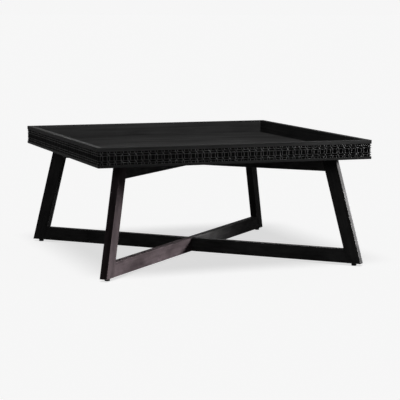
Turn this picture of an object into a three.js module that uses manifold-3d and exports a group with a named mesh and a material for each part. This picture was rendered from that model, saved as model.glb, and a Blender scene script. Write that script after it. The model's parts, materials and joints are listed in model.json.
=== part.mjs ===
// A square tray-top coffee table in black wood. A rim of four mitred boards with a banded
// outer face stands round a flat panel, and two crossed frames with leaning legs carry it.
// Millimetres, +Z up. The origin is on the floor under the middle of the table, +X runs to
// the right along the front rim and +Y to the back.
import * as THREE from "three";
import { mergeVertices } from "three/addons/utils/BufferGeometryUtils.js";
import Module from "manifold-3d";

const wasm = await Module();
wasm.setup();

// The tray
const side = 900; // outside of the rim, square
const rimHeight = 61;
const rimThickness = 18;
const rimEase = 1.2; // chamfer along the rim's two top edges
const rabbetDepth = 8; // how far the panel reaches into the rim
const panelThickness = 18.5;
const panelBoards = 7; // edge-glued, with the grain along X
const bandDepth = 3; // how far the rows of the carved band lie behind the outer face
// The outer face from the top down: lip, row, fillet, row, fillet, tall row, fillet, row,
// fillet, row, each as a share of the rim's height. The bottom lip is what is left.
const bandShares = [0.197, 0.075, 0.038, 0.075, 0.038, 0.205, 0.038, 0.075, 0.038, 0.08];

// The corner splines that key the mitres, above the panel
const splineLength = 14; // across the mitre
const splineThickness = 4;
const splineHeight = 30;
const splineInset = 11; // from either outer face to the spline's middle

// The crossed frames
const frameHeight = 338;
const footSetback = 26.4; // from below the tray's corner in to a leg's outer edge, at the bottom
const legLeanDegrees = 15;
const stockWidth = 44.5; // legs and rails are cut from the same stock
const stockThickness = 24.5;

// The loose tenons between rails and legs, as shares of the stock that they join
const tenonLengthShare = 0.72; // of the stock's width
const tenonHeightShare = 0.58; // of the stock's width
const tenonThicknessShare = 0.33; // of the stock's thickness

// The wood screws that go up through the top rails into the panel
const screwLength = 40;
const screwRadius = 2.5;
const screwTipLength = 6;
const screwHeadRadius = 4.8;
const screwHeadHeight = 3;
const screwHeadEdge = 0.8; // upright edge of the head, before it tapers
const screwHeadDepth = 16; // from the rail's underside up to the head
const screwPlaceShares = [-0.66, -0.3, 0.3, 0.66]; // of a frame's half length

// The levelling feet
const footHeight = 8; // from the floor to the frames, with the feet screwed right in
const padRadius = 8.2;
const padEase = 1.2; // chamfer round the pad's lower edge
const footPlaceShare = 0.57; // of a leg's level width, from its outer edge to its foot
const studRadius = 3;
const studLength = 20;
const studSocketDepth = 4; // how deep the stud sits in its pad
const insertRadius = 5;
const insertLength = 14;

// Clearances and drawing values
const jointGap = 0.3; // glue line or running clearance between neighbours
const cutOverrun = 2; // how far a cutter runs past the face that it opens
const weldDistance = 0.001; // points closer than this are one point
const roundSides = 24;
const screwSides = 12;

// Heights and reaches that follow from the sizes above
const half = side / 2;
const frameBottom = footHeight;
const frameTop = frameBottom + frameHeight;
const trayBottom = frameTop + jointGap;
const trayTop = trayBottom + rimHeight;
const panelTop = trayBottom + panelThickness;
const panelHalf = half - rimThickness + rabbetDepth - jointGap;
const lean = THREE.MathUtils.degToRad(legLeanDegrees);
const legWidthLevel = stockWidth / Math.cos(lean); // a leg's width, measured level
const padTop = footHeight - jointGap;
const studBottom = padTop - studSocketDepth + jointGap;
const studTop = studBottom + studLength;
const screwSeat = frameTop - stockWidth + screwHeadDepth;
const quarterTurn = Math.PI / 2;
const eighthTurn = Math.PI / 4;
const frameHalfLength = half * Math.SQRT2 - footSetback; // middle to a leg's foot, outside
const footReach = frameHalfLength - legWidthLevel * footPlaceShare;

// The corners, a quarter turn apart. Frame A runs from the back left corner to the front
// right one, and frame B from the front left corner to the back right one.
const corners = ["front_right", "back_right", "back_left", "front_left"];
const frameTurns = [-eighthTurn, eighthTurn];

const lacquer = new THREE.MeshStandardMaterial({ color: 0x1c1a1a, roughness: 0.45 });
const panelLacquer = new THREE.MeshStandardMaterial({ color: 0x242323, roughness: 0.5 });
const beech = new THREE.MeshStandardMaterial({ color: 0xc9a578, roughness: 0.7 });
const zinc = new THREE.MeshStandardMaterial({ color: 0xb4b6b8, roughness: 0.35, metalness: 1 });
const brass = new THREE.MeshStandardMaterial({ color: 0xb8934a, roughness: 0.35, metalness: 1 });
const nylon = new THREE.MeshStandardMaterial({ color: 0x101010, roughness: 0.6 });

// Turns a geometry into a solid that can be cut.
function solidOf(geometry) {
  const bare = new THREE.BufferGeometry();
  const source = geometry.index ? geometry.toNonIndexed() : geometry;
  bare.setAttribute("position", source.getAttribute("position").clone());
  const welded = mergeVertices(bare, weldDistance);
  const mesh = new wasm.Mesh({
    numProp: 3,
    vertProperties: new Float32Array(welded.getAttribute("position").array),
    triVerts: new Uint32Array(welded.index.array),
  });
  return new wasm.Manifold(mesh);
}

// Turns a cut solid back into a geometry with flat faces.
function geometryOf(solid) {
  const mesh = solid.getMesh();
  const geometry = new THREE.BufferGeometry();
  geometry.setAttribute("position", new THREE.BufferAttribute(mesh.vertProperties, 3));
  geometry.setIndex(new THREE.BufferAttribute(mesh.triVerts, 1));
  const faceted = geometry.toNonIndexed();
  faceted.computeVertexNormals();
  return faceted;
}

function cut(geometry, cutters) {
  const left = (body, cutter) => body.subtract(solidOf(cutter));
  return geometryOf(cutters.reduce(left, solidOf(geometry)));
}

function named(name, geometry, material) {
  const mesh = new THREE.Mesh(geometry, material);
  mesh.name = name;
  return mesh;
}

// A box from its middle and its size.
function block(middle, size) {
  return new THREE.BoxGeometry(...size).translate(...middle);
}

// A solid of revolution about the vertical, from pairs of radius and height.
function turned(profile, sides) {
  const points = profile.map(([radius, height]) => new THREE.Vector2(radius, height));
  return new THREE.LatheGeometry(points, sides).rotateX(quarterTurn);
}

// An outline of pairs of reach and height, stood upright with its thickness about Y zero.
function upright(outline, thickness) {
  const shape = new THREE.Shape(outline.map(([reach, height]) => new THREE.Vector2(reach, height)));
  const geometry = new THREE.ExtrudeGeometry(shape, { depth: thickness, bevelEnabled: false });
  return geometry.rotateX(quarterTurn).translate(0, thickness / 2, 0);
}

// The rim's section, as distance in from the outer face and height. It runs under the board
// and its rabbet, up the inner face, over the top and down the rows of the band.
function rimSection() {
  const rabbet = rimThickness - rabbetDepth;
  const outline = [
    [0, trayBottom],
    [rabbet, trayBottom],
    [rabbet, panelTop + jointGap],
    [rimThickness, panelTop + jointGap],
    [rimThickness, trayTop - rimEase],
    [rimThickness - rimEase, trayTop],
    [rimEase, trayTop],
    [0, trayTop - rimEase],
  ];
  let height = trayTop;
  bandShares.forEach((share, index) => {
    const lower = height - share * rimHeight;
    if (index % 2 === 1) {
      outline.push([0, height], [bandDepth, height], [bandDepth, lower], [0, lower]);
    }
    height = lower;
  });
  return new THREE.Shape(outline.map(([inward, level]) => new THREE.Vector2(inward, level)));
}

// A spline in the mitre at the front's right end, or at its left end if end is -1. With a
// gap it is the slot that holds the spline.
function cornerSpline(end, gap) {
  const size = [splineLength, splineThickness, splineHeight].map((length) => length + gap * 2);
  const reach = half - splineInset;
  return block([0, 0, 0], size)
    .rotateZ(end * eighthTurn)
    .translate(end * reach, -reach, (panelTop + trayTop) / 2);
}

// One rim board, lying along the front. Its ends are mitred: a point's reach along the
// board shrinks by its distance in from the outer face.
function rimBoard() {
  const geometry = new THREE.ExtrudeGeometry(rimSection(), { depth: 1, bevelEnabled: false });
  const places = geometry.getAttribute("position");
  for (let i = 0; i < places.count; i++) {
    const inward = places.getX(i);
    const height = places.getY(i);
    const reach = half - inward - jointGap / Math.SQRT2;
    places.setXYZ(i, THREE.MathUtils.lerp(-reach, reach, places.getZ(i)), inward - half, height);
  }
  return cut(geometry, [cornerSpline(-1, jointGap), cornerSpline(1, jointGap)]);
}

// The four sides of the tray and the splines in its corners, each a quarter turn on.
function rim() {
  const group = new THREE.Group();
  ["front", "right", "back", "left"].forEach((place, index) => {
    const board = named(`${place}_rim`, rimBoard(), lacquer);
    board.rotation.z = index * quarterTurn;
    group.add(board);
  });
  corners.forEach((corner, index) => {
    const spline = named(`${corner}_corner_spline`, cornerSpline(1, 0), beech);
    spline.rotation.z = index * quarterTurn;
    group.add(spline);
  });
  return group;
}

// A wood screw pointing up from its seat, or with a gap the hole that it goes through.
function screw(gap) {
  const profile = [
    [0, 0],
    [screwHeadRadius + gap, 0],
    [screwHeadRadius + gap, screwHeadEdge],
    [screwRadius + gap, screwHeadHeight],
    [screwRadius + gap, screwLength - screwTipLength],
    [0, screwLength + gap],
  ];
  return turned(profile, screwSides).translate(0, 0, screwSeat);
}

// The hole for a screw, with the counterbore that sinks its head into the rail.
function screwHole() {
  const radius = screwHeadRadius + jointGap;
  const bottom = screwSeat - screwHeadDepth - cutOverrun;
  const top = screwSeat + screwHeadEdge;
  const counterbore = [[0, bottom], [radius, bottom], [radius, top], [0, top]];
  return geometryOf(solidOf(screw(jointGap)).add(solidOf(turned(counterbore, screwSides))));
}

// The holes of both frames, where they stand under the panel.
function screwHoles() {
  return frameTurns.flatMap((turn) =>
    screwPlaceShares.map((share) =>
      screwHole().translate(share * frameHalfLength, 0, 0).rotateZ(turn),
    ),
  );
}

// The panel's boards from front to back. They take the tips of the screws.
function panel() {
  const group = new THREE.Group();
  const pitch = (panelHalf * 2 + jointGap) / panelBoards;
  const holes = screwHoles();
  for (let i = 0; i < panelBoards; i++) {
    const front = i * pitch - panelHalf;
    const middle = [0, front + (pitch - jointGap) / 2, trayBottom + panelThickness / 2];
    const board = block(middle, [panelHalf * 2, pitch - jointGap, panelThickness]);
    group.add(named(`panel_board_${i + 1}`, cut(board, holes), panelLacquer));
  }
  return group;
}

// How far a leg's outer and inner edges reach from the middle at a height.
function legOuter(height) {
  return frameHalfLength - (height - frameBottom) * Math.tan(lean);
}

function legInner(height) {
  return legOuter(height) - legWidthLevel;
}

// The middle heights of the two rails, which are also those of their tenons.
const railMiddles = {
  bottom: frameBottom + stockWidth / 2,
  top: frameTop - stockWidth / 2,
};

// The loose tenon at one end of a rail, or its mortise where there is a gap.
function tenon(level, gap) {
  const middle = railMiddles[level];
  const size = [
    stockWidth * tenonLengthShare,
    stockThickness * tenonThicknessShare,
    stockWidth * tenonHeightShare,
  ];
  return block([legInner(middle), 0, middle], size.map((length) => length + gap * 2));
}

// One leg, standing along +X, with mortises for its rails and a hole for its foot.
function leg() {
  const outline = [
    [legInner(frameBottom), frameBottom],
    [legOuter(frameBottom), frameBottom],
    [legOuter(frameTop), frameTop],
    [legInner(frameTop), frameTop],
  ];
  const insertHole = insertRadius + jointGap;
  const studHole = studRadius + jointGap;
  const footHole = turned(
    [
      [0, frameBottom - cutOverrun],
      [insertHole, frameBottom - cutOverrun],
      [insertHole, frameBottom + insertLength + jointGap],
      [studHole, frameBottom + insertLength + jointGap],
      [studHole, studTop + jointGap],
      [0, studTop + jointGap],
    ],
    roundSides,
  ).translate(footReach, 0, 0);
  const mortises = [tenon("bottom", jointGap), tenon("top", jointGap)];
  return cut(upright(outline, stockThickness), [...mortises, footHole]);
}

// A rail between two legs. It is halved at the middle, where the other frame's rail crosses:
// opening is 1 where the notch opens upwards and -1 where it opens downwards.
function rail(level, opening) {
  const middle = railMiddles[level];
  const edge = (stockWidth / 2) * opening; // towards the edge that the notch opens
  const openReach = legInner(middle + edge) - jointGap;
  const closedReach = legInner(middle - edge) - jointGap;
  const notch = stockThickness / 2 + jointGap;
  const notchFloor = middle - (jointGap / 2) * opening;
  const outline = [
    [-closedReach, middle - edge],
    [closedReach, middle - edge],
    [openReach, middle + edge],
    [notch, middle + edge],
    [notch, notchFloor],
    [-notch, notchFloor],
    [-notch, middle + edge],
    [-openReach, middle + edge],
  ];
  const mortise = tenon(level, jointGap);
  return cut(upright(outline, stockThickness), [mortise, mortise.clone().rotateZ(Math.PI)]);
}

// The rails of one frame and the screws in its top rail.
function frame(name, turn, opening) {
  const group = new THREE.Group();
  const holes = screwPlaceShares.map((share) =>
    screwHole().translate(share * frameHalfLength, 0, 0),
  );
  group.add(named(`${name}_bottom_rail`, rail("bottom", opening), lacquer));
  group.add(named(`${name}_top_rail`, cut(rail("top", opening), holes), lacquer));
  screwPlaceShares.forEach((share, index) => {
    const place = screw(0).translate(share * frameHalfLength, 0, 0);
    group.add(named(`${name}_screw_${index + 1}`, place, zinc));
  });
  group.rotation.z = turn;
  return group;
}

// A foot: its pad, the stud that screws up into the leg, and the threaded insert there.
function foot(corner) {
  const socket = studRadius + jointGap;
  const pad = turned(
    [
      [0, 0],
      [padRadius - padEase, 0],
      [padRadius, padEase],
      [padRadius, padTop],
      [socket, padTop],
      [socket, padTop - studSocketDepth],
      [0, padTop - studSocketDepth],
    ],
    roundSides,
  );
  const stud = turned(
    [
      [0, studBottom],
      [studRadius, studBottom],
      [studRadius, studTop],
      [0, studTop],
    ],
    roundSides,
  );
  const insertTop = frameBottom + insertLength;
  const insert = turned(
    [
      [socket, frameBottom],
      [insertRadius, frameBottom],
      [insertRadius, insertTop],
      [socket, insertTop],
      [socket, frameBottom],
    ],
    roundSides,
  );
  const group = new THREE.Group();
  group.add(named(`${corner}_foot_pad`, pad, nylon));
  group.add(named(`${corner}_foot_stud`, stud, zinc));
  group.add(named(`${corner}_foot_insert`, insert, brass));
  group.position.x = footReach;
  return group;
}

// A leg with its tenons and its foot, turned to stand under a corner of the tray.
function legSet(corner, turn) {
  const group = new THREE.Group();
  group.add(named(`${corner}_leg`, leg(), lacquer));
  group.add(named(`${corner}_bottom_tenon`, tenon("bottom", 0), beech));
  group.add(named(`${corner}_top_tenon`, tenon("top", 0), beech));
  group.add(foot(corner));
  group.rotation.z = turn;
  return group;
}

const table = new THREE.Group();
table.add(rim());
table.add(panel());
table.add(frame("frame_a", frameTurns[0], 1));
table.add(frame("frame_b", frameTurns[1], -1));
corners.forEach((corner, index) => {
  table.add(legSet(corner, index * quarterTurn - eighthTurn));
});

export default table;
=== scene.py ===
# %% [markdown]
# # A square tray table: carved rim, sunken panel, crossed frames
#
# The table is black-stained wood. Four rim boards stand on edge round a sunken panel, and their outer faces
# carry a carved band of small two-strand braids. Two flat frames cross under the tray, each with a top
# rail, a bottom rail and two leaning legs, and every leg ends in a small levelling foot.
#
# The packed model is loaded first, and its pieces are the fixed frame that everything here is built on.
# Each new piece is made in metres, in the model's own place, so nothing has to be fitted afterwards.

# %% Load the packed model
import json
import math

import bmesh
import bpy
from mathutils import Matrix, Vector

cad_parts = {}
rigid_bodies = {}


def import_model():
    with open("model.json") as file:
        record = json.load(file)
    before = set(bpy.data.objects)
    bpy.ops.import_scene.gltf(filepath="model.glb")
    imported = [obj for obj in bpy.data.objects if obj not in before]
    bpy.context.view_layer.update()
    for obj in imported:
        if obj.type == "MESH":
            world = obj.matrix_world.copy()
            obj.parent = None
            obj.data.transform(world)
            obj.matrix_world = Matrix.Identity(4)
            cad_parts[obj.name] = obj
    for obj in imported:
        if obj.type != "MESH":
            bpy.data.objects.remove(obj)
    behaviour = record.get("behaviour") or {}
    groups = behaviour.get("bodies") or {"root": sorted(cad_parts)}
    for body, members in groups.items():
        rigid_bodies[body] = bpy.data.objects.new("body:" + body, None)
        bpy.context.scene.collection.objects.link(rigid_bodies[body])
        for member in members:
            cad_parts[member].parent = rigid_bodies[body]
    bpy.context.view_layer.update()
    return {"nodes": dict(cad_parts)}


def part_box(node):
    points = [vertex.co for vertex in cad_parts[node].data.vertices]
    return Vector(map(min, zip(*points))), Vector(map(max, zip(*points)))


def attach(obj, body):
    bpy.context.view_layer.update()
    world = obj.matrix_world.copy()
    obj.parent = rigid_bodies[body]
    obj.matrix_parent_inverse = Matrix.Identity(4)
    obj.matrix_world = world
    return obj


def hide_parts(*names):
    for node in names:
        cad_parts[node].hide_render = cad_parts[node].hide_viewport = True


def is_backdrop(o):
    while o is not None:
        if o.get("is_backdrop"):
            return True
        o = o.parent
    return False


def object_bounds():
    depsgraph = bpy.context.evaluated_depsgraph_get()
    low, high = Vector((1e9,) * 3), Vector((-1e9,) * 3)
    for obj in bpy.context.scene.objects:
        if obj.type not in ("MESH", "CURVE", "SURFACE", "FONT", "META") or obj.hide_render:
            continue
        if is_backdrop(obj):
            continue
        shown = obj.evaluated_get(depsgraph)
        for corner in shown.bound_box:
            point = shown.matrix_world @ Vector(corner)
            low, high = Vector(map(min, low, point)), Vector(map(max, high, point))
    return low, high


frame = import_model()
MM = 0.001


def box_in_mm(low, high):
    return [round((far - near) / MM, 1) for near, far in zip(low, high)]


# %% [markdown]
# ## The camera
#
# The photograph was taken from the front, a little to the left and slightly above the rim. Its place was
# worked out from the corners of the rim and the four feet, so the render can be laid over the photograph. A
# long lens far away would flatten the table, and a short one close by would splay its legs, so the distance
# and the lens both come from that fit. Blender measures a lens in millimetres of its sensor's width, so a
# focal length in pixels is turned into that unit.

# %% Make the camera
PHOTO_PIXELS = 400
FOCAL_PIXELS = 1467.9
SENSOR_WIDTH = 36.0
SIGHT = 1000.0  # how far the camera sees, which is past the floor's edge
CAMERA_PLACE = Vector((-1.6466, -4.6192, 0.8110))
CAMERA_YAW, CAMERA_PITCH, CAMERA_ROLL = (math.radians(a) for a in (20.01, 7.34, 0.15))


def new_object(name, data):
    """An object of that data, put in the scene."""
    made = bpy.data.objects.new(name, data)
    bpy.context.scene.collection.objects.link(made)
    return made


look = Vector((math.sin(CAMERA_YAW) * math.cos(CAMERA_PITCH),
               math.cos(CAMERA_YAW) * math.cos(CAMERA_PITCH),
               -math.sin(CAMERA_PITCH)))
camera_data = bpy.data.cameras.new("photo_camera")
camera_data.sensor_width = SENSOR_WIDTH
camera_data.lens = SENSOR_WIDTH * FOCAL_PIXELS / PHOTO_PIXELS
camera_data.clip_end = SIGHT
camera = new_object("photo_camera", camera_data)
camera.location = CAMERA_PLACE
upright = look.to_track_quat("-Z", "Y").to_matrix()
camera.rotation_euler = (upright @ Matrix.Rotation(CAMERA_ROLL, 3, "Z")).to_euler()
bpy.context.scene.camera = camera
bpy.context.scene.view_settings.view_transform = "Standard"
print("lens in mm:", round(camera_data.lens, 1))

# %% [markdown]
# ## Writing node trees as plain sums
#
# A finish is a small sum over textures. It could be drawn by hand in the node editor, but a drawing hides
# the sum. Here a socket is wrapped in a class that knows plus, minus, times and divide, so that a line such
# as 1 - mask adds its own Math node. Every other node is added by one method, which takes the node's type,
# its settings, and the values or links of its sockets. The same classes serve the finishes and the repeated
# carving, because both are node trees.

# %% Wrap a socket
def both_ways(operation):
    """The two forms of an operator: the plain one for wire - 2, and the reflected one for 2 - wire."""

    def plain(self, other):
        return self.desk.math(operation, self, other)

    def reflected(self, other):
        return self.desk.math(operation, other, self)

    return plain, reflected


class Wire:
    """A number, colour or shape on its way through a node tree."""

    def __init__(self, desk, socket):
        self.desk, self.socket = desk, socket

    __add__, __radd__ = both_ways("ADD")
    __sub__, __rsub__ = both_ways("SUBTRACT")
    __mul__, __rmul__ = both_ways("MULTIPLY")
    __truediv__, __rtruediv__ = both_ways("DIVIDE")
    __mod__, __rmod__ = both_ways("FLOORED_MODULO")
    __gt__, __lt__ = both_ways("GREATER_THAN")  # wire < 2 is the same as 2 > wire

    def held(self):
        """The number, held between 0 and 1."""
        return self.desk.math("ADD", self, 0.0, clamp=True)

    def greater_of(self, other):
        return self.desk.math("MAXIMUM", self, other)

    def of(self, operation):
        """A function of this number alone, such as SINE."""
        return self.desk.math(operation, self)

    def step(self, low, high):
        """0 below low, 1 above high, and a smooth climb between them."""
        node = self.desk.add("ShaderNodeMapRange", {"interpolation_type": "SMOOTHSTEP"},
                             {"Value": self, "From Min": low, "From Max": high})
        return node[0]


class Outputs:
    """The outputs of a node, by name or number."""

    def __init__(self, desk, node):
        self.desk, self.node = desk, node

    def __getitem__(self, key):
        return Wire(self.desk, self.node.outputs[key])


print("wrapped:", Wire.__doc__)

# %% Wrap a node tree
class Desk:
    """A node tree to which nodes are added one call at a time."""

    def __init__(self, tree):
        self.tree = tree
        tree.nodes.clear()

    def add(self, kind, settings=None, sockets=None):
        """Adds a node: its settings are set first, then the values or links of its sockets."""
        node = self.tree.nodes.new(kind)
        for name, value in (settings or {}).items():
            setattr(node, name, value)
        for key, value in (sockets or {}).items():
            if isinstance(value, Outputs):
                value = value[0]
            if isinstance(value, Wire):
                self.tree.links.new(value.socket, node.inputs[key])
            else:
                node.inputs[key].default_value = value
        return Outputs(self, node)

    def math(self, operation, *values, clamp=False):
        """A Math node on one or two values."""
        node = self.add("ShaderNodeMath", {"operation": operation, "use_clamp": clamp},
                        dict(enumerate(values)))
        return node[0]

    def mix(self, colour_a, colour_b, share, blend="MIX"):
        """colour_a where share is 0. Where it is 1, colour_b, or with MULTIPLY the product of both."""
        node = self.add("ShaderNodeMix", {"data_type": "RGBA", "blend_type": blend},
                        {0: share, 6: colour_a, 7: colour_b})
        return node[2]

    def noise(self, point, cells, draw, detail=2.0):
        """Soft random spots, from about 0.3 to 0.7, with so many cells to the metre along each axis."""
        stretched = self.add("ShaderNodeVectorMath", {"operation": "MULTIPLY"}, {0: point, 1: cells})
        node = self.add("ShaderNodeTexNoise", {"noise_dimensions": "4D"},
                        {"Vector": stretched, "W": draw, "Scale": 1.0, "Detail": detail, "Roughness": 0.55})
        return node[0]

    def parts(self, vector):
        node = self.add("ShaderNodeSeparateXYZ", None, {0: vector})
        return node[0], node[1], node[2]

    def vector(self, *parts):
        return self.add("ShaderNodeCombineXYZ", None, dict(enumerate(parts)))[0]


print("wrapped:", Desk.__doc__)

# %% [markdown]
# ## Floor and background
#
# The photograph has a plain, nearly white ground with only a faint shadow under the table. A floor that is
# truly that bright would throw its light back up onto black wood and turn it grey. The Light Path node
# tells what kind of ray is looking: camera rays and mirror-like rays are shown the pale ground, and soft
# bounces meet a darker one. Part of what the camera sees is still lit by the lamps, so the table keeps its
# shadow. The world beyond the floor's edge gives the same pale value, so no horizon shows.

# %% Lay the floor and set the world
GROUND = 0.922  # the pale ground, as linear light
GROUND_GLOW = 0.69  # the part of it that needs no lamp
GROUND_PAINT = 0.50  # its colour, which the lamps light
GROUND_BOUNCE, WORLD_BOUNCE = 0.06, 0.04  # what soft bounces meet instead, on the floor and beyond it
FLOOR_REACH = 300.0


def grey(value):
    return value, value, value, 1.0


def seen_directly(desk):
    """1 for camera rays, reflections and what shows through glass, and 0 for soft bounces."""
    rays = desk.add("ShaderNodeLightPath")
    return rays["Is Camera Ray"].greater_of(rays["Is Glossy Ray"]).greater_of(rays["Is Transmission Ray"])


floor_material = bpy.data.materials.new("pale_ground")
floor_material.use_nodes = True
desk = Desk(floor_material.node_tree)
glow = desk.add("ShaderNodeEmission", None, {"Color": grey(1.0), "Strength": GROUND_GLOW})
paint = desk.add("ShaderNodeBsdfDiffuse", None, {"Color": grey(GROUND_PAINT)})
shown = desk.add("ShaderNodeAddShader", None, {0: glow, 1: paint})
dull = desk.add("ShaderNodeBsdfDiffuse", None, {"Color": grey(GROUND_BOUNCE)})
both = desk.add("ShaderNodeMixShader", None, {0: seen_directly(desk), 1: dull, 2: shown})
desk.add("ShaderNodeOutputMaterial", None, {"Surface": both})
floor_material.cycles.emission_sampling = "NONE"

floor_corners = [(x * FLOOR_REACH, y * FLOOR_REACH, 0) for x, y in ((-1, -1), (1, -1), (1, 1), (-1, 1))]
floor_mesh = bpy.data.meshes.new("floor")
floor_mesh.from_pydata(floor_corners, [], [(0, 1, 2, 3)])
floor_mesh.materials.append(floor_material)
floor = new_object("floor", floor_mesh)
floor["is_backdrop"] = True

world = bpy.data.worlds.new("pale_surround")
bpy.context.scene.world = world
world.use_nodes = True
desk = Desk(world.node_tree)
bright = desk.add("ShaderNodeBackground", None, {"Color": grey(1.0), "Strength": GROUND})
dim = desk.add("ShaderNodeBackground", None, {"Color": grey(1.0), "Strength": WORLD_BOUNCE})
both = desk.add("ShaderNodeMixShader", None, {0: seen_directly(desk), 1: dim, 2: bright})
desk.add("ShaderNodeOutputWorld", None, {"Surface": both})
print("ground value:", GROUND)

# %% [markdown]
# ## Black-stained wood
#
# Every wooden piece is stained black under a satin lacquer that lets the grain show as long soft streaks,
# with open pores, and its eased edges are painted slightly paler, partly as wear and partly as a painted
# highlight. A photograph of wood could be wrapped round the pieces, but it would stretch on the leaning
# legs. Here the streaks are noise pulled out along the grain of each piece, so they run true in every
# member. A Mapping node turns the object's coordinates to that grain: x along it, y across the wide face
# and z through the thickness. The paler edges read an attribute, worn, that the modelling steps
# store on the faces of each eased edge.

# %% Prepare a finish
def mapped_point(desk, to_piece):
    """The object's coordinates, turned and moved to lie along the grain."""
    place = desk.add("ShaderNodeTexCoord")["Object"]
    return desk.add("ShaderNodeMapping", {"vector_type": "POINT"},
                    {"Vector": place, "Rotation": to_piece.to_3x3().to_euler("XYZ"),
                     "Location": to_piece.to_translation()})[0]


def scaled(tone, share):
    return tuple(c * share for c in tone)


def shade(tone, share=1.0):
    """That share of the tone, as a colour socket takes it."""
    return (*scaled(tone, share), 1.0)


# The faces of the eased edges. The finishes paint them paler: on the frames and the rim partly as wear and
# partly as a painted highlight.
def eased_face_mask(desk):
    return desk.add("ShaderNodeAttribute", {"attribute_name": "worn"})["Fac"]


def uneven(middle, pattern, amount=0.25):
    """A roughness that rises and falls with a noise, whose own middle is 0.5."""
    return middle + (pattern - 0.5) * amount


def new_finish(name):
    material = bpy.data.materials.new(name)
    material.use_nodes = True
    return material, Desk(material.node_tree)


def close_finish(desk, bump_sockets, shader_sockets):
    """Adds the bump, the shader that it feeds, and the output."""
    bump = desk.add("ShaderNodeBump", None, bump_sockets)
    shader = desk.add("ShaderNodeBsdfPrincipled", None, {**shader_sockets, "Normal": bump})
    desk.add("ShaderNodeOutputMaterial", None, {"Surface": shader})


print("half of a tone of 0.05:", shade((0.05, 0.05, 0.05), 0.5))

# %% Make the wood finish
# Cells to the metre, along the grain, across it and through the thickness.
SOFT_CLOUDS = (5.0, 16.0, 16.0)
PORE_CELLS = (110.0, 1500.0, 1500.0)
# How far the clouds, the pores and the rubbing with its painted highlight are drawn from the streaks,
# so that they don't follow them.
CLOUD_DRAW, PORE_DRAW, RUB_HIGHLIGHT_DRAW = 3.1, 5.3, 8.0
# A stain is a share of the wood's tone, and a cover says how much of what lies under it hides.
DARK_STAIN, PALE_STAIN = 0.62, 1.42
PORE_STAIN, PORE_COVER = 0.45, 0.5
PORE_EDGE = (0.60, 0.72)  # only the noise's highest spots are pores
PORE_DEPTH, STREAK_HEIGHT = 0.10 * MM, 0.4


def wood_colour(desk, point, tone, draw, streak_cells, contrast, cloud_cells=SOFT_CLOUDS, cloudy=0.8):
    """The stain's colour, of long streaks, softer clouds and dark pores. Also the streaks and the pores."""
    streaks = desk.noise(point, streak_cells, draw, detail=4.0)
    clouds = desk.noise(point, cloud_cells, draw + CLOUD_DRAW, detail=4.0)
    pores = desk.noise(point, PORE_CELLS, draw + PORE_DRAW, detail=1.0).step(*PORE_EDGE)
    share = ((streaks - 0.5) * contrast + (clouds - 0.5) * contrast * cloudy + 0.5).held()
    surface_colour = desk.mix(shade(tone, DARK_STAIN), shade(tone, PALE_STAIN), share)
    surface_colour = desk.mix(surface_colour, shade(tone, PORE_STAIN), pores * PORE_COVER)
    return surface_colour, streaks, pores


def finish_wood(desk, surface_colour, roughness, streaks, pores, gloss):
    height = streaks * STREAK_HEIGHT - pores
    close_finish(desk, {"Strength": 0.6, "Distance": PORE_DEPTH, "Height": height},
                 {"Base Color": surface_colour, "Roughness": roughness, "Specular IOR Level": gloss})


print("pores in mm:", round(PORE_DEPTH / MM, 2), "deep")

# %% [markdown]
# ## The frames' stain
#
# The eight members of the two frames aren't all one black. Most are a neutral black. The front left leg and
# frame B's bottom rail are painted a warm tone, which stands for the warm look of their faces in the light
# from the right, and on the rail it fades to neutral past the crossing, where the rail lies in shade. The
# top rails are painted paler, for the bounce light that doesn't reach them in the tray's shade. The outer
# face of the front right leg gets a painted highlight up to its middle and the rim's painted shadow above.
# One finish for all would be simpler, and colours painted on each would need a picture. So each member gets
# its own copy of the same finish, with its own tone and its own draw of the noise. The fading warm tone,
# the highlight and the shadow are smooth steps on the member's coordinates.

# %% Stain the frames
FRAME_TONE = (0.0563, 0.0552, 0.0555)
WARM_LIGHT_TONE = (0.0575, 0.0452, 0.0486)
FRAME_ROUGHNESS, FRAME_GLOSS = 0.60, 0.006
FRAME_STREAKS, FRAME_CLOUDS = (7.0, 130.0, 130.0), (15.0, 32.0, 32.0)
# Eased edges are painted paler in patches, partly as wear and partly as a painted highlight.
RUB_HIGHLIGHT_CELLS, RUB_HIGHLIGHT_EDGE = (14.0, 120.0, 120.0), (0.22, 0.66)
RUB_HIGHLIGHT_STAIN, RUB_HIGHLIGHT_COVER = 2.3, 0.7
RUBBED_POLISH = 0.1  # how much smoother a rubbed edge is

# Each member's tone, its share of that tone, and its draw: of 34 draws that were tried, the one that puts
# its streaks and clouds nearest to those in the photograph. The top rails' share of 2.2 is painted light
# for their place in the tray's shade, and the warm tone is painted light from the right.
FRAME_LOOKS = {
    "frame_a_bottom_rail": (FRAME_TONE, 1.0, 561.0),
    "frame_a_top_rail": (FRAME_TONE, 2.2, 153.0),
    "frame_b_bottom_rail": (WARM_LIGHT_TONE, 1.0, 565.0),
    "frame_b_top_rail": (FRAME_TONE, 2.2, 324.0),
    "front_right_leg": (FRAME_TONE, 1.0, 581.0),
    "back_left_leg": (FRAME_TONE, 1.0, 384.0),
    "back_right_leg": (FRAME_TONE, 1.0, 68.0),
    "front_left_leg": (WARM_LIGHT_TONE, 0.91, 415.0)}

# The warm tone is painted light from the right. Along frame B's bottom rail it fades to neutral past the
# crossing, where the rail lies in shade.
WARM_LIGHT_FADES = (-30 * MM, 50 * MM)  # along frame B's bottom rail, from its middle
LESS_WARM_LIGHT = (1.12, 1.38, 1.29)  # times the red tone, gives a neutral one
# On the front right leg's outer face: a painted highlight below its middle and the rim's painted shadow
# above it.
STRIP_LIGHT_FADE = (0.0, 160 * MM)  # up the front right leg, from its middle
STRIP_HIGHLIGHT, STRIP_RIM_SHADOW = 1.48, 0.70
OUTER_FACE = 21.0 * MM  # what lies further out than this from the leg's middle is its outer face


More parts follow.
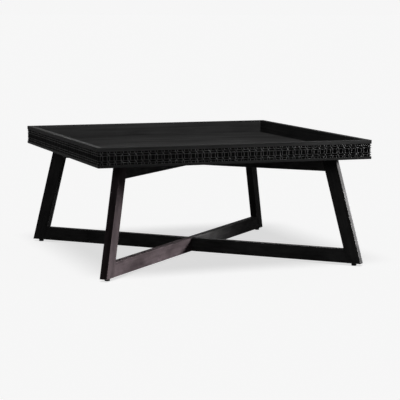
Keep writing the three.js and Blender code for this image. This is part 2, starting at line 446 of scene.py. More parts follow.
def frame_wood(node, to_piece):
    """The finish of one member. to_piece turns the object's coordinates to the member's grain."""
    whole_tone, share, draw = FRAME_LOOKS[node]
    tone = scaled(whole_tone, share)
    material, desk = new_finish(f"{node}_wood")
    point = mapped_point(desk, to_piece)
    surface_colour, streaks, pores = wood_colour(desk, point, tone, draw, FRAME_STREAKS, contrast=1.5,
                                        cloud_cells=FRAME_CLOUDS, cloudy=1.6)
    # Eased edges painted paler in patches, partly as wear and partly as a painted highlight.
    rub_and_highlight = eased_face_mask(desk) * desk.noise(point, RUB_HIGHLIGHT_CELLS, draw + RUB_HIGHLIGHT_DRAW).step(*RUB_HIGHLIGHT_EDGE)
    surface_colour = desk.mix(surface_colour, shade(tone, RUB_HIGHLIGHT_STAIN), rub_and_highlight * RUB_HIGHLIGHT_COVER)
    along, across, _ = desk.parts(point)
    # Painted light: the warm tone fades to neutral past the crossing, where the rail lies in shade.
    if node == "frame_b_bottom_rail":
        surface_colour = desk.mix(surface_colour, shade(LESS_WARM_LIGHT), along.step(*WARM_LIGHT_FADES), "MULTIPLY")
    # Painted highlight low on the outer face, and the rim's painted shadow higher up.
    if node == "front_right_leg":
        strip_light = desk.mix(grey(STRIP_HIGHLIGHT), grey(STRIP_RIM_SHADOW), along.step(*STRIP_LIGHT_FADE))
        surface_colour = desk.mix(surface_colour, strip_light, across > OUTER_FACE, "MULTIPLY")
    roughness = uneven(FRAME_ROUGHNESS, streaks) - rub_and_highlight * RUBBED_POLISH
    finish_wood(desk, surface_colour, roughness, streaks, pores, FRAME_GLOSS)
    return material


print("frame members to stain:", len(FRAME_LOOKS))

# %% [markdown]
# ## Legs and rails
#
# The two frames are plain square-edged stock, but no made edge is perfectly sharp: the long edges are eased
# by about a millimetre, and that thin round catches a line of light. A Bevel modifier would ease every
# edge, also the shoulders where a rail meets a leg, and would draw a groove at each joint. So the model's
# own piece is copied, its triangles are merged into clean faces, and only the long edges that stay open to
# the air are eased. Each new face also stores worn = 1, which the finish reads to paint the edge
# paler, partly as wear and partly as a painted highlight. The Weighted Normal modifier then keeps the wide
# faces flat in the light.

# %% Ease the long edges of a piece
FRAME_EASE = 1.1 * MM
EASE_SEGMENTS = 3
DOUBLES = 0.002 * MM  # points that lie nearer to each other are one
FLAT = math.radians(0.2)  # faces that meet at a smaller angle are one
LEAST_TURN = 0.6  # radians between the faces of an edge that is worth easing
PARALLEL = 0.999  # the least cosine of the angle between an edge and the direction it should run along


def merged_copy(node):
    """The mesh of a model's piece as a bmesh with its doubles merged and its flat faces joined."""
    bm = bmesh.new()
    bm.from_mesh(frame["nodes"][node].data)
    bmesh.ops.remove_doubles(bm, verts=bm.verts, dist=DOUBLES)
    bmesh.ops.dissolve_limit(bm, angle_limit=FLAT, verts=bm.verts, edges=bm.edges)
    return bm


def middle_of(edge):
    return (edge.verts[0].co + edge.verts[1].co) / 2


def open_edges(bm, along, shortest):
    """Convex edges that run along a direction and are longer than shortest."""
    found = []
    for edge in bm.edges:
        if len(edge.link_faces) != 2 or not edge.is_convex or edge.calc_face_angle(0) < LEAST_TURN:
            continue
        run = edge.verts[1].co - edge.verts[0].co
        if run.length > shortest and abs(run.normalized().dot(along)) > PARALLEL:
            found.append(edge)
    return found


def ease_edges(bm, chosen, width):
    """Eases the chosen edges and stores worn = 1 on the new faces."""
    worn = bm.faces.layers.float.new("worn")
    made = bmesh.ops.bevel(bm, geom=chosen, offset=width, offset_type="OFFSET", segments=EASE_SEGMENTS,
                           profile=0.5, affect="EDGES", clamp_overlap=True)
    for face in made["faces"]:
        face[worn] = 1.0


print("edges are eased by", round(FRAME_EASE / MM, 1), "mm")

# %% Turn a mesh into a finished piece
SHARP_FROM = math.radians(40)


def smooth_object(mesh, material, sharp_from=SHARP_FROM):
    """An object of that mesh, smooth but for the edges where it turns by more than sharp_from."""
    mesh.shade_smooth()
    mesh.set_sharp_from_angle(angle=sharp_from)
    mesh.materials.append(material)
    return new_object(mesh.name, mesh)


def apply_with_flat_light(piece):
    """Keeps the wide faces flat in the light, and makes what the modifiers give the piece's plain mesh."""
    weighted = piece.modifiers.new("flat_light", "WEIGHTED_NORMAL")
    weighted.keep_sharp = True
    evaluated = piece.evaluated_get(bpy.context.evaluated_depsgraph_get())
    made = bpy.data.meshes.new_from_object(evaluated)
    made.name = piece.name
    piece.modifiers.clear()
    piece.data = made


def stand_for(piece, node, body="table"):
    """Puts the piece on the body that it rides on, and hides the model's piece that it replaces."""
    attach(piece, body)
    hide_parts(node)


def piece_from(bm, name, material):
    mesh = bpy.data.meshes.new(name)
    bm.to_mesh(mesh)
    bm.free()
    piece = smooth_object(mesh, material)
    apply_with_flat_light(piece)
    return piece


print("edges stay sharp from", round(math.degrees(SHARP_FROM)), "degrees")

# %% Ease the four rails
TURN_A, TURN_B = -math.pi / 4, math.pi / 4
LONG_EDGE = 100 * MM  # the least length of an edge that is eased, on rails and boards

rail_heights = {}
for letter, turn in (("a", TURN_A), ("b", TURN_B)):
    along = Vector((math.cos(turn), math.sin(turn), 0))
    for level in ("bottom", "top"):
        node = f"frame_{letter}_{level}_rail"
        low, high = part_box(node)
        rail_heights[level] = (low.z, high.z)
        centre = Vector((0, 0, (low.z + high.z) / 2))
        material = frame_wood(node, Matrix.Rotation(-turn, 4, "Z") @ Matrix.Translation(-centre))
        bm = merged_copy(node)
        ease_edges(bm, open_edges(bm, along, LONG_EDGE), FRAME_EASE)
        piece = piece_from(bm, f"{node}_eased", material)
        stand_for(piece, node)
        print(piece.name, len(piece.data.polygons), "faces")

# %% Ease the four legs
CORNERS = {"front_right": TURN_A, "back_left": TURN_A + math.pi,
           "back_right": TURN_B, "front_left": TURN_B + math.pi}
LEG_LEAN = math.radians(15)
LEG_EDGE = 20 * MM  # and on legs, which are cut into three lengths
CUT_REACH = 0.001 * MM  # points nearer to a cut than this lie on it

# Both rails meet a leg's inner face. Its edges stay sharp there and are eased only between the rails.
rail_gap = rail_heights["bottom"][1], rail_heights["top"][0]
for corner, turn in CORNERS.items():
    node = f"{corner}_leg"
    out = Vector((math.cos(turn), math.sin(turn), 0))
    up_leg = Vector((0, 0, math.cos(LEG_LEAN))) - out * math.sin(LEG_LEAN)
    face_out = out * math.cos(LEG_LEAN) + Vector((0, 0, math.sin(LEG_LEAN)))
    through = up_leg.cross(face_out)
    low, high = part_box(node)
    centre = (low + high) / 2
    to_leg = Matrix((up_leg, face_out, through)).to_4x4() @ Matrix.Translation(-centre)
    material = frame_wood(node, to_leg)
    bm = merged_copy(node)
    for height in rail_gap:
        bmesh.ops.bisect_plane(bm, geom=[*bm.verts, *bm.edges, *bm.faces], dist=CUT_REACH,
                               plane_co=(0, 0, height), plane_no=(0, 0, 1))
    chosen = []
    for edge in open_edges(bm, up_leg, LEG_EDGE):
        middle = middle_of(edge)
        if (to_leg @ middle).y > 0 or rail_gap[0] < middle.z < rail_gap[1]:
            chosen.append(edge)
    ease_edges(bm, chosen, FRAME_EASE)
    piece = piece_from(bm, f"{node}_eased", material)
    stand_for(piece, node)
    print(piece.name, len(chosen), "edges eased")

# %% [markdown]
# ## The sunken panel
#
# The tray's floor is seven boards glued edge to edge, with the grain along the front rim. Seen from the
# side it is one quiet dark surface, and from above the joints show as hairlines. Lines drawn by a bump
# would show the joints too, but not in the mesh, so the model's seven boards are kept and their upper
# edges eased. The boards share one finish, and the number of the board that a point lies on shifts
# the noise, so that no streak runs on across a joint.

# %% Finish the boards
BOARDS = 7
BOARD_EASE = 0.35 * MM
PANEL_TONE = (0.042, 0.042, 0.042)
PANEL_ROUGHNESS, PANEL_GLOSS = 0.66, 0.0
PANEL_STREAKS = (2.5, 90.0, 90.0)
PANEL_EDGE_STAIN, PANEL_EDGE_COVER = 1.5, 0.5
PANEL_DRAW, NEXT_BOARD = 2.0, 4.7  # the first board's draw, and how far the next one's lies from it

board_boxes = [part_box(f"panel_board_{number}") for number in range(1, BOARDS + 1)]
panel_front = min(low.y for low, _ in board_boxes)
panel_back = max(high.y for _, high in board_boxes)
panel_top = max(high.z for _, high in board_boxes)
board_pitch = (panel_back - panel_front) / BOARDS


def panel_wood():
    material, desk = new_finish("panel_wood")
    point = mapped_point(desk, Matrix.Identity(4))
    board = ((desk.parts(point)[1] - panel_front) / board_pitch).of("FLOOR")
    draw = board * NEXT_BOARD + PANEL_DRAW
    surface_colour, streaks, pores = wood_colour(desk, point, PANEL_TONE, draw, PANEL_STREAKS, contrast=2.0)
    surface_colour = desk.mix(surface_colour, shade(PANEL_TONE, PANEL_EDGE_STAIN), eased_face_mask(desk) * PANEL_EDGE_COVER)
    finish_wood(desk, surface_colour, uneven(PANEL_ROUGHNESS, streaks), streaks, pores, PANEL_GLOSS)
    return material


panel_material = panel_wood()
for number in range(1, BOARDS + 1):
    node = f"panel_board_{number}"
    bm = merged_copy(node)
    long_edges = open_edges(bm, Vector((1, 0, 0)), LONG_EDGE)
    ease_edges(bm, [e for e in long_edges if e.verts[0].co.z > panel_top - MM], BOARD_EASE)
    piece = piece_from(bm, f"{node}_eased", panel_material)
    stand_for(piece, node)
print("boards:", BOARDS, "each", round(board_pitch / MM, 1), "mm wide")

# %% [markdown]
# ## The rim boards
#
# A rim board is one section drawn along a side and cut at 45 degrees at both ends. The section has a plain
# lip above and below, and between them the carved band: a ground three millimetres deep, with four low
# fillets that divide it into five rows. Extruding the outline and cutting the ends with a boolean would
# work, but each point of the outline can simply be joined to its own two ends, which lie further in the
# deeper the point is.

# %% Draw the section of a rim board
rim_low, rim_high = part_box("front_rim")
OUTER = rim_low.y
RIM_TOP, RIM_BOTTOM = rim_high.z, rim_low.z
HALF_SIDE = rim_high.x
RIM_THICK = rim_high.y - rim_low.y
RABBET = 8.0 * MM  # how far the panel reaches under the rim
LIP_EASE = 1.2 * MM
BAND_EASE = 0.5 * MM  # the small round where a lip turns into the band
BAND_EASE_MIDDLE = BAND_EASE * 0.3  # how far the middle of that round lies from both faces
WALL_LEAN = 0.2 * MM  # how far each wall of the band leans
GROUND_DEPTH = 3.0 * MM
BAND_TOP, BAND_BOTTOM = 12.0 * MM, 52.4 * MM
FILLETS = [(16.6 * MM, 18.9 * MM), (23.5 * MM, 25.8 * MM), (38.3 * MM, 40.6 * MM), (45.2 * MM, 47.5 * MM)]
FILLET_TOP = 0.45 * MM  # how far a fillet's top lies behind the lips
FILLET_FLAT = 0.5 * MM  # half the flat width of its top
FILLET_ROUND = (0.35 * MM, 0.25 * MM)  # where its shoulder lies: below its top, and in from its edge
FILLET_SPREAD = 0.1 * MM  # how much further each of its edges lies at the ground
ROUND_STEPS = 3


def quarter_round(depth, down, radius, start):
    """Points of a rounded corner: depth goes in from the outer face, down from the rim's top."""
    points = []
    for i in range(ROUND_STEPS + 1):
        angle = math.radians(start) + math.pi / 2 * i / ROUND_STEPS
        points.append((depth + radius * math.cos(angle), down - radius * math.sin(angle)))
    return points


def rim_section():
    """The outline as (depth, down, worn), from the outer face's top, down it and back up the inside."""
    height, r, small, smaller = RIM_TOP - RIM_BOTTOM, LIP_EASE, BAND_EASE, BAND_EASE_MIDDLE
    shoulder, inset = FILLET_TOP + FILLET_ROUND[0], FILLET_ROUND[1]
    outline = [(d, h, 1) for d, h in quarter_round(r, r, r, 90)]
    outline += [(0, BAND_TOP - small, 0), (smaller, BAND_TOP - smaller, 1),
                (small, BAND_TOP, 1), (GROUND_DEPTH, BAND_TOP + WALL_LEAN, 0)]
    for top, bottom in FILLETS:
        middle = (top + bottom) / 2
        outline += [(GROUND_DEPTH, top - FILLET_SPREAD, 0), (shoulder, top + inset, 0),
                    (FILLET_TOP, middle - FILLET_FLAT, 0), (FILLET_TOP, middle + FILLET_FLAT, 0),
                    (shoulder, bottom - inset, 0), (GROUND_DEPTH, bottom + FILLET_SPREAD, 0)]
    outline += [(GROUND_DEPTH, BAND_BOTTOM - WALL_LEAN, 0), (small, BAND_BOTTOM, 1),
                (smaller, BAND_BOTTOM + smaller, 1), (0, BAND_BOTTOM + small, 0)]
    outline += [(d, h, 1) for d, h in quarter_round(r, height - r, r, 180)]
    outline += [(RIM_THICK - RABBET, height, 0), (RIM_THICK - RABBET, RIM_TOP - panel_top, 0),
                (RIM_THICK, RIM_TOP - panel_top, 0)]
    outline += [(d, h, 1) for d, h in quarter_round(RIM_THICK - r, r, r, 0)]
    outline += [(RIM_THICK / 2, 0, 0)]
    return outline


def rim_board_mesh(name):
    """The front rim board: the outline drawn along x, with a mitre cap at each end."""
    outline = rim_section()
    bm = bmesh.new()
    worn = bm.faces.layers.float.new("worn")
    ends = [[bm.verts.new((side * (HALF_SIDE - depth), OUTER + depth, RIM_TOP - down))
             for depth, down, _ in outline] for side in (-1, 1)]
    count = len(outline)
    for i in range(count):
        j = (i + 1) % count
        face = bm.faces.new((ends[0][i], ends[0][j], ends[1][j], ends[1][i]))
        face[worn] = float(outline[i][2] and outline[j][2])
    caps = [bm.faces.new(ends[0]), bm.faces.new(ends[1][::-1])]
    # A cap has dozens of corners, some of them hollow. It needs its normal before it is cut into triangles.
    bm.normal_update()
    bmesh.ops.triangulate(bm, faces=caps)
    bmesh.ops.recalc_face_normals(bm, faces=bm.faces)
    mesh = bpy.data.meshes.new(name)
    bm.to_mesh(mesh)
    bm.free()
    return mesh


print("section points:", len(rim_section()))

# %% [markdown]
# ## The carved braids
#
# On every side 42 little braids stand in the band. Each is a pair of strands that run down the band, change
# places in the second row, run on, and change back in the fourth, and at both crossings the strand that
# comes from the upper left lies on top. That follows a rule, so Geometry Nodes make it: a five-sided
# cylinder is bent by a formula into one strand, the pair is set on a row of points, and the row is joined
# to the board. Drawing the strands as displacement of one fine grid would need many more faces for the same
# crisp edges.

# %% Bend one strand
CROSS_STEPS = 5  # steps of a strand from one end of a crossing to the other
STRAND_STEPS = 2 * CROSS_STEPS + 3  # the two crossings and the three straight runs
STRAND_SIDES = 5
HALF_ROUND = STRAND_SIDES / (2 * (STRAND_SIDES - 1))  # brings the corners of a full turn into half a turn
GUARD = 0.01  # keeps the corner at 0 from being counted as one at a full turn


def strand(desk, size, side):
    """A closed half-round strand. side is -1 for the strand that starts on the left and 1 for the other."""
    tube = desk.add("GeometryNodeMeshCylinder", {"fill_type": "NGON"},
                    {"Vertices": STRAND_SIDES, "Side Segments": STRAND_STEPS, "Fill Segments": 1,
                     "Radius": 1.0, "Depth": 1.0})
    x, y, z = desk.parts(desk.add("GeometryNodeInputPosition")[0])
    ring = (0.5 - z) * STRAND_STEPS
    turn = desk.math("ARCTAN2", y, x)
    round_angle = ((turn + GUARD) % (2 * math.pi) - GUARD) * HALF_ROUND

    # How far down the band a ring lies: the first and last at the strand's ends, the rest at the crossings.
    past_start, past_first, past_last = ring > 0.5, ring > CROSS_STEPS + 1.5, ring > STRAND_STEPS - 0.5
    first = size["Cross 1"] + (ring - 1) / CROSS_STEPS * size["Cross Height"]
    second = size["Cross 2"] + (ring - CROSS_STEPS - 2) / CROSS_STEPS * size["Cross Height"]
    down = ((1 - past_start) * size["Strand Start"] + (past_start - past_first) * first
            + (past_first - past_last) * second + past_last * size["Strand End"])

    # At a crossing the strand swaps sides along an S, dips if it lies under, and keeps its width aslant.
    swaps, dips, slopes = [], [], []
    for place in ("Cross 1", "Cross 2"):
        share = ((down - size[place]) / size["Cross Height"]).held()
        swaps.append(share * share * (3 - 2 * share))
        dips.append(4 * share * (1 - share))
        slopes.append(12 * share * (1 - share) * size["Spread"] / size["Cross Height"])
    sideways = side * size["Spread"] * (1 - 2 * swaps[0] + 2 * swaps[1])
    under = dips[0] if side > 0 else dips[1]
    slope = slopes[0] + slopes[1]
    wide = size["Strand Width"] * 0.5 * (1 + slope * slope).of("SQRT")
    crown = size["Crown"] + under * size["Dip"]
    depth = size["Base"] - (size["Base"] - crown) * round_angle.of("SINE")
    bent = desk.vector(sideways - wide * round_angle.of("COSINE"), depth, -1 * down)
    moved = desk.add("GeometryNodeSetPosition", None, {"Geometry": tube, "Position": bent})
    return desk.add("GeometryNodeSetShadeSmooth", None, {"Geometry": moved, "Shade Smooth": True})[0]


print("steps along a strand:", STRAND_STEPS)

# %% Write the tree that carves a board
# The tree's inputs. Crown is how far a strand's top lies behind the lips, Base how far its underside does,
# Dip how much deeper it goes under the other one, and Hand how far a braid may stand from its place.
CARVING = {"Columns": 42, "Seed": 1, "Pitch": 21.43 * MM, "Face": OUTER, "Top": RIM_TOP,
           "Strand Start": BAND_TOP - 0.4 * MM, "Strand End": BAND_BOTTOM + 0.4 * MM,
           "Cross 1": 16.6 * MM, "Cross 2": 38.3 * MM, "Cross Height": 9.2 * MM,
           "Spread": 3.75 * MM, "Strand Width": 4.3 * MM, "Crown": 0.35 * MM,
           "Base": GROUND_DEPTH + 0.2 * MM, "Dip": 1.2 * MM, "Hand": 0.15 * MM}


def row_of_points(desk, size):
    """A point for each braid, in a row along the outer face, each a little out of its place."""
    first = desk.vector((1 - size["Columns"]) * size["Pitch"] * 0.5, size["Face"], size["Top"])
    row = desk.add("GeometryNodeMeshLine", None,
                   {"Count": size["Columns"], "Start Location": first,
                    "Offset": desk.vector(size["Pitch"])})
    shake = desk.add("FunctionNodeRandomValue", {"data_type": "FLOAT"},
                     {2: -1.0, 3: 1.0, "Seed": size["Seed"]})[1]
    nudge = desk.vector(shake * size["Hand"])
    return desk.add("GeometryNodeSetPosition", None, {"Geometry": row, "Offset": nudge})


def carving_tree():
    tree = bpy.data.node_groups.new("carved_band", "GeometryNodeTree")
    tree.interface.new_socket("Geometry", in_out="OUTPUT", socket_type="NodeSocketGeometry")
    tree.interface.new_socket("Geometry", in_out="INPUT", socket_type="NodeSocketGeometry")
    for name, value in CARVING.items():
        kind = "NodeSocketInt" if isinstance(value, int) else "NodeSocketFloat"
        tree.interface.new_socket(name, in_out="INPUT", socket_type=kind)
    tree.interface.new_socket("Finish", in_out="INPUT", socket_type="NodeSocketMaterial")
    desk = Desk(tree)
    given = desk.add("NodeGroupInput")
    size = {name: given[name] for name in CARVING}
    pair = desk.add("GeometryNodeJoinGeometry")
    for side in (-1, 1):
        tree.links.new(strand(desk, size, side).socket, pair.node.inputs[0])
    braids = desk.add("GeometryNodeInstanceOnPoints", None,
                      {"Points": row_of_points(desk, size), "Instance": pair})
    real = desk.add("GeometryNodeRealizeInstances", None, {"Geometry": braids})
    whole = desk.add("GeometryNodeJoinGeometry")
    tree.links.new(real[0].socket, whole.node.inputs[0])
    tree.links.new(given["Geometry"].socket, whole.node.inputs[0])
    done = desk.add("GeometryNodeSetMaterial", None, {"Geometry": whole, "Material": given["Finish"]})
    desk.add("NodeGroupOutput", None, {0: done})
    return tree


band_tree = carving_tree()
print("carving tree:", len(band_tree.nodes), "nodes")

# %% [markdown]
# ## The rim's finish
#
# The hollows of the carving are painted darker than the tops, as the shade that falls in them, and they are
# rougher too. The depth behind the outer face can be read straight from the coordinates, because the
# Mapping node first turns every side to lie like the front one. Ambient occlusion would give a similar
# mask, but it depends on what stands near, and this one doesn't.
#
# Each board is also painted with its own light and shade. The back and left faces are paler and the right
# one darker. The front board's top is darker against its sheen, its lower lip darker against the floor's
# reflection, and the crowns of its upper rows are paler than those of its lower ones, partly as wear and
# partly as a painted highlight. On the left board the fillets are painted paler as a highlight, the top
# and the lower lip paler as light, and the middle row darker as shade. The outer faces of the other two
# aren't in the photograph, so their crowns are painted paler evenly, partly as wear and partly as a painted
# highlight.

# %% Make the rim wood
RIM_TONE = (0.052, 0.052, 0.052)
RIM_ROUGHNESS, RIM_GLOSS = 0.58, 0.005
RIM_STREAKS = (3.0, 160.0, 160.0)
# Where eased edges and crowns are painted paler, partly as wear and partly as a painted highlight.
RIM_RUB_HIGHLIGHT_CELLS, RIM_RUB_HIGHLIGHT_EDGE = (60.0, 300.0, 120.0), (0.30, 0.60)
CROWN_DEPTH, HOLLOW_DEPTH = (0.6 * MM, 1.3 * MM), (1.3 * MM, 2.6 * MM)
CARVED_DEPTH = 4 * MM  # what lies deeper is the board's inner face
BAND_MARGIN = 0.05 * MM  # keeps the lips' edges out of the band's mask
# Eased edges of the rim painted paler, partly as wear and partly as a painted highlight.
RIM_EDGE_RUB_HIGHLIGHT, RIM_EDGE_RUB_HIGHLIGHT_COVER = 1.4, 0.5
CROWN_COVER, LIP_COVER = 0.6, 0.8
HOLLOW_DULLNESS = 0.2  # how much rougher the hollows are
# How far down the painted light and shade of the top strip and of the lower lip reach.
TOP_STRIP, FOOT_STRIP = 0.9 * MM, BAND_BOTTOM + 0.6 * MM  # the one ends and the other begins so far down

# Each side's draw and its shares of the rim's tone, which paint each side's light and shade: the face and
# the top, and then, as shares of the face, the hollows of the band, the lower lip, and the crowns of the
# strands and of the fillets in each row. The back and left faces are painted paler and the right one
# darker. The tops are painted darker against their sheen, the left one paler. The hollows are painted
# shade. The front's lower lip is painted darker against the floor's reflection, the left one's paler. The
# crowns are paler partly as wear and partly as a painted highlight, and on the left board's middle row
# they are painted shade.
EVEN_CROWNS = {"upper": (1.7, 1.7), "middle": (1.7, 1.7), "lower": (1.7, 1.7)}
RIM_LOOKS = {
    "front": {"draw": 561.0, "face": 0.92, "top": 0.30, "hollow": 0.30, "foot": 0.56,
              "upper": (3.4, 2.6), "middle": (2.0, 2.0), "lower": (2.5, 1.4)},
    "right": {"draw": 62.0, "face": 0.90, "top": 0.40, "hollow": 0.18, "foot": 0.5, **EVEN_CROWNS},
    "back": {"draw": 379.0, "face": 1.30, "top": 0.30, "hollow": 0.18, "foot": 0.5, **EVEN_CROWNS},
    "left": {"draw": 492.0, "face": 1.40, "top": 1.40, "hollow": 0.18, "foot": 1.8,
             "upper": (2.6, 5.3), "middle": (0.8, 0.8), "lower": (2.6, 5.3)}}


def rubbed_and_lit_crowns(desk, tone, looks, down):
    """Crown colour and place for each row, as wear and as painted highlight and shade."""
    fillet = sum((down > top) * (down < bottom) for top, bottom in FILLETS)
    upper, lower = down < FILLETS[1][1], down > FILLETS[2][0]
    for row, where in (("upper", upper), ("middle", 1 - upper - lower), ("lower", lower)):
        on_strand, on_fillet = (shade(tone, share) for share in looks[row])
        yield desk.mix(on_strand, on_fillet, fillet), where


def rim_wood(side, quarter_turns):
    """The finish of one rim board, which lies so many quarter turns from the front one."""
    looks = RIM_LOOKS[side]
    tone = scaled(RIM_TONE, looks["face"])
    material, desk = new_finish(f"{side}_rim_wood")
    point = mapped_point(desk, Matrix.Rotation(-quarter_turns * math.pi / 2, 4, "Z"))
    surface_colour, streaks, pores = wood_colour(desk, point, tone, looks["draw"], RIM_STREAKS, contrast=2.0)
    _, y, z = desk.parts(point)
    depth, down = y - OUTER, RIM_TOP - z
    in_band = ((down > BAND_TOP + BAND_MARGIN) * (down < BAND_BOTTOM - BAND_MARGIN)
               * (depth < CARVED_DEPTH))
    hollow = in_band * depth.step(*HOLLOW_DEPTH)
    crown = in_band * (1 - depth.step(*CROWN_DEPTH))
    # Where eased edges and crowns are painted paler, partly as wear and partly as a painted highlight.
    rub_highlight = desk.noise(point, RIM_RUB_HIGHLIGHT_CELLS, looks["draw"] + RUB_HIGHLIGHT_DRAW).step(*RIM_RUB_HIGHLIGHT_EDGE)
    # Painted shade in the hollows of the carving.
    surface_colour = desk.mix(surface_colour, shade(tone, looks["hollow"]), hollow)
    # Crowns paler partly as wear and partly as a painted highlight, and painted shade on the left board's
    # middle row.
    for colour, where in rubbed_and_lit_crowns(desk, tone, looks, down):
        surface_colour = desk.mix(surface_colour, colour, crown * where * rub_highlight * CROWN_COVER)
    # Eased edges painted paler, partly as wear and partly as a painted highlight.
    surface_colour = desk.mix(surface_colour, shade(tone, RIM_EDGE_RUB_HIGHLIGHT), eased_face_mask(desk) * rub_highlight * RIM_EDGE_RUB_HIGHLIGHT_COVER)
    # The top strip and the lower lip take the side's painted light and shade.
    on_top, on_foot = down < TOP_STRIP, down > FOOT_STRIP
    surface_colour = desk.mix(surface_colour, shade(RIM_TONE, looks["top"]), on_top * LIP_COVER)
    surface_colour = desk.mix(surface_colour, shade(tone, looks["foot"]), on_foot * LIP_COVER)
    roughness = uneven(RIM_ROUGHNESS, streaks) + hollow * HOLLOW_DULLNESS
    finish_wood(desk, surface_colour, roughness, streaks, pores, RIM_GLOSS)
    return material


print("sides with their own stain:", ", ".join(RIM_LOOKS))

# %% [markdown]
# ## Carving the boards
#
# The four sides are the same board, and one tree carves them all. Copies of one carved board would repeat
# every small slip of the hand, so each is carved by itself with its own seed, and only then turned to its
# side. The tree is hung on the board as a modifier. A modifier knows its inputs by their identifiers, not
# by their names, and they are set before Blender first works it out. The tree makes its copies real,
# because the export drops instances, and the result is turned into a plain mesh.

# %% Carve the four sides
RIM_SHARP_FROM = math.radians(35)


def carve_side(side, quarter_turns, seed):
    material = rim_wood(side, quarter_turns)
    piece = smooth_object(rim_board_mesh(f"{side}_rim_carved"), material, RIM_SHARP_FROM)
    carving = piece.modifiers.new("carving", "NODES")
    carving.node_group = band_tree
    identifiers = {s.name: s.identifier for s in band_tree.interface.items_tree if s.in_out == "INPUT"}
    for name, value in {**CARVING, "Seed": seed, "Finish": material}.items():
        carving[identifiers[name]] = value
    apply_with_flat_light(piece)
    piece.data.transform(Matrix.Rotation(quarter_turns * math.pi / 2, 4, "Z"))
    stand_for(piece, f"{side}_rim")
    return piece


for quarter_turns, side in enumerate(("front", "right", "back", "left")):
    piece = carve_side(side, quarter_turns, seed=quarter_turns + 1)
    triangles = sum(len(p.vertices) - 2 for p in piece.data.polygons)
    print(piece.name, triangles, "triangles")

# %% [markdown]
# ## Hidden pieces
#
# The tenons and the splines in the mitres are bare beech, the screws and the foot studs are zinc-plated
# steel, and the threaded inserts are brass. Almost all of them are out of sight. They could be left plain,
# but whoever uses the part may take the table apart, so the model's own solids stay and get a finish. Each
# finish varies over the surface as the others do, because it may be looked at from near by.

# %% Finish the hidden pieces
BEECH_TONE, ZINC_TONE, BRASS_TONE = (0.50, 0.33, 0.19), (0.62, 0.62, 0.60), (0.71, 0.52, 0.24)
BEECH_STREAKS, BEECH_DRAW = (8.0, 200.0, 200.0), 3.0
BEECH_ROUGHNESS, BEECH_GLOSS = 0.62, 0.3
METAL_CLOUDS, TURNING_MARKS = (260.0, 260.0, 260.0), (150.0, 150.0, 2500.0)
MARK_DEPTH = 0.03 * MM
METAL_ROUGHNESS = 0.35


def beech():
    material, desk = new_finish("bare_beech")
    point = mapped_point(desk, Matrix.Identity(4))
    surface_colour, streaks, pores = wood_colour(desk, point, BEECH_TONE, BEECH_DRAW, BEECH_STREAKS, contrast=1.2)
    finish_wood(desk, surface_colour, uneven(BEECH_ROUGHNESS, streaks, amount=0.2), streaks, pores, BEECH_GLOSS)
    return material


def metal(name, tone):
    material, desk = new_finish(name)
    point = mapped_point(desk, Matrix.Identity(4))
    clouds = desk.noise(point, METAL_CLOUDS, draw=1.0, detail=3.0)
    marks = desk.noise(point, TURNING_MARKS, draw=4.0, detail=1.0)
    tint = desk.mix(shade(tone, 0.8), shade(tone), clouds.step(0.35, 0.65))
    close_finish(desk, {"Strength": 0.4, "Distance": MARK_DEPTH, "Height": marks},
                 {"Base Color": tint, "Metallic": 1.0,
                  "Roughness": uneven(METAL_ROUGHNESS, clouds, amount=0.3)})
    return material


bare_beech = beech()
zinc_steel = metal("zinc_steel", ZINC_TONE)
HIDDEN = {"_tenon": bare_beech, "_spline": bare_beech, "_screw": zinc_steel, "_stud": zinc_steel,
          "_insert": metal("insert_brass", BRASS_TONE)}
finished = 0
for name, node in frame["nodes"].items():
    for word, material in HIDDEN.items():
        if word in name:
            node.material_slots[0].material = material
            finished += 1
print("finished:", finished, "hidden pieces")

# %% [markdown]
# ## The foot pads
#
# A small round pad of black nylon shows under each leg. It is turned, with rounded edges and a shallow grip
# groove. A cylinder with a Bevel modifier would give the edges but not the groove or the socket for the
# stud. So half its outline is drawn, from the middle of the sole up the outside and down into the socket,
# and carried round the axis. Where the outline meets the axis, a ring is one point, and its faces are
# triangles.

# %% Turn the four foot pads
PAD_SIDES = 40
PAD_TOP = 7.95 * MM
SOCKET_RADIUS, SOCKET_FLOOR = 3.05 * MM, 3.95 * MM
# The outside as radius and height in mm, from the middle of the sole to the inner end of the top.
PAD_OUTLINE = [(0, 0), (6.6, 0), (7.4, 0.2), (7.95, 0.6), (8.2, 1.2), (8.2, 4.6), (7.9, 4.9), (7.9, 5.3),
               (8.2, 5.6), (8.2, 7.1), (8.0, 7.6), (7.5, 7.95)]
NYLON_GRAIN, NYLON_CLOUDS = (1500.0, 1500.0, 1500.0), (200.0, 200.0, 200.0)
GRAIN_DEPTH = 0.05 * MM
NYLON_ROUGHNESS, NYLON_GLOSS = 0.55, 0.06


def nylon():
    material, desk = new_finish("black_nylon")
    point = mapped_point(desk, Matrix.Identity(4))
    grain = desk.noise(point, NYLON_GRAIN, draw=2.0)
    clouds = desk.noise(point, NYLON_CLOUDS, draw=6.0)
    tint = desk.mix(grey(0.005), grey(0.011), clouds.step(0.3, 0.7))
    close_finish(desk, {"Strength": 0.5, "Distance": GRAIN_DEPTH, "Height": grain},
                 {"Base Color": tint, "Roughness": uneven(NYLON_ROUGHNESS, clouds, amount=0.3),
                  "Specular IOR Level": NYLON_GLOSS})
    return material


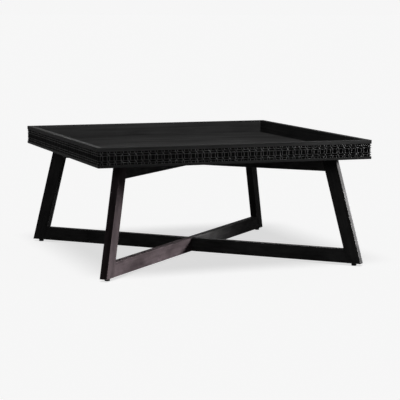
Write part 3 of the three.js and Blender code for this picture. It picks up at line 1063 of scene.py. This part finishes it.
def turned_pad(corner, material):
    """A foot pad as a closed turned body, in the place of the model's pad."""
    node = f"{corner}_foot_pad"
    profile = [(radius * MM, height * MM) for radius, height in PAD_OUTLINE]
    profile += [(SOCKET_RADIUS, PAD_TOP), (SOCKET_RADIUS, SOCKET_FLOOR), (0, SOCKET_FLOOR)]
    low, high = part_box(node)
    centre = (low + high) / 2
    bm = bmesh.new()
    rings = []
    for radius, height in profile:
        turns = [2 * math.pi * i / PAD_SIDES for i in range(PAD_SIDES if radius else 1)]
        rings.append([bm.verts.new((centre.x + radius * math.cos(t), centre.y + radius * math.sin(t),
                                    low.z + height)) for t in turns])
    for lower, upper in zip(rings, rings[1:]):
        for i in range(PAD_SIDES):
            j = (i + 1) % PAD_SIDES
            corners = [lower[i % len(lower)], lower[j % len(lower)],
                       upper[j % len(upper)], upper[i % len(upper)]]
            bm.faces.new(list(dict.fromkeys(corners)))
    bmesh.ops.recalc_face_normals(bm, faces=bm.faces)
    piece = piece_from(bm, f"{node}_turned", material)
    stand_for(piece, node, body=f"{corner}_foot")
    return piece


pad_material = nylon()
for corner in CORNERS:
    piece = turned_pad(corner, pad_material)
    print(piece.name, len(piece.data.polygons), "faces")

# %% [markdown]
# ## Lights
#
# The faces of the frames that look to the right are five times as bright as those that look to the left,
# and the carved band glows more and more towards its right end. So a narrow soft box stands on the right,
# and wider ones stand in front and, low, on the left. Area lights are used because their size sets how soft
# the shadows are, and their nearness gives that change along the rim. Sun lamps would light the rim evenly.
# The top box hangs over the right half of the tray: there it lights the panel and the far wall, but not the
# outer face of the front rim, which looks away from it. The lamps near the table would draw bright pools on
# the ground. Light linking keeps them on the table, as flags do in a studio, and gives the endless floor
# its own overhead sun. Its disc is very wide, so that the table leaves only the faint soft shadow that the
# photograph shows.

# %% Hang the soft boxes
EVERY_WAY = 180  # the spread in degrees of a box without a grid in front

lit_table = bpy.data.collections.new("lit_table")
lit_floor = bpy.data.collections.new("lit_floor")
for o in bpy.context.scene.objects:
    if o.type == "MESH":
        (lit_floor if o == floor else lit_table).objects.link(o)


def new_lamp(name, kind, place, aim, receivers):
    """A lamp that lights only its receivers."""
    lamp = new_object(name, bpy.data.lights.new(name, kind))
    lamp.location = place
    lamp.rotation_euler = (Vector(aim) - Vector(place)).to_track_quat("-Z", "Y").to_euler()
    lamp.light_linking.receiver_collection = receivers
    return lamp


def soft_box(name, place, aim, width, height, watts, spread=EVERY_WAY):
    lamp = new_lamp(name, "AREA", place, aim, lit_table)
    lamp.data.shape, lamp.data.size, lamp.data.size_y = "RECTANGLE", width, height
    lamp.data.energy, lamp.data.spread = watts, math.radians(spread)


soft_box("right_spot", place=(2.10, -0.59, 0.73), aim=(-0.3, -0.33, 0.13),
         width=0.6, height=0.34, watts=4.8, spread=26)
soft_box("top_light", place=(0.42, -0.33, 1.90), aim=(-0.4, 0.1, 0.36), width=0.5, height=0.5, watts=16.0)
soft_box("front_light", place=(-0.25, -2.56, 1.44), aim=(0, 0, 0.3), width=1.1, height=0.8, watts=4.5)
soft_box("left_light", place=(-2.5, -0.4, 0.5), aim=(0, 0, 0.3), width=1.1, height=0.4, watts=2.1)

SUN_STRENGTH, SUN_DISC = 1.43, math.radians(26)
sun = new_lamp("floor_light", "SUN", place=(-0.3, -0.6, 2), aim=(0, 0, 0), receivers=lit_floor)
sun.data.energy, sun.data.angle = SUN_STRENGTH, SUN_DISC

# %% [markdown]
# ## The dressed size
#
# The dressed table must be as large as the model it stands on, so the box of the dressed table is printed
# in millimetres.

# %% Print the dressed size
low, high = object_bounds()
print("dressed box in mm:", box_in_mm(low, high))
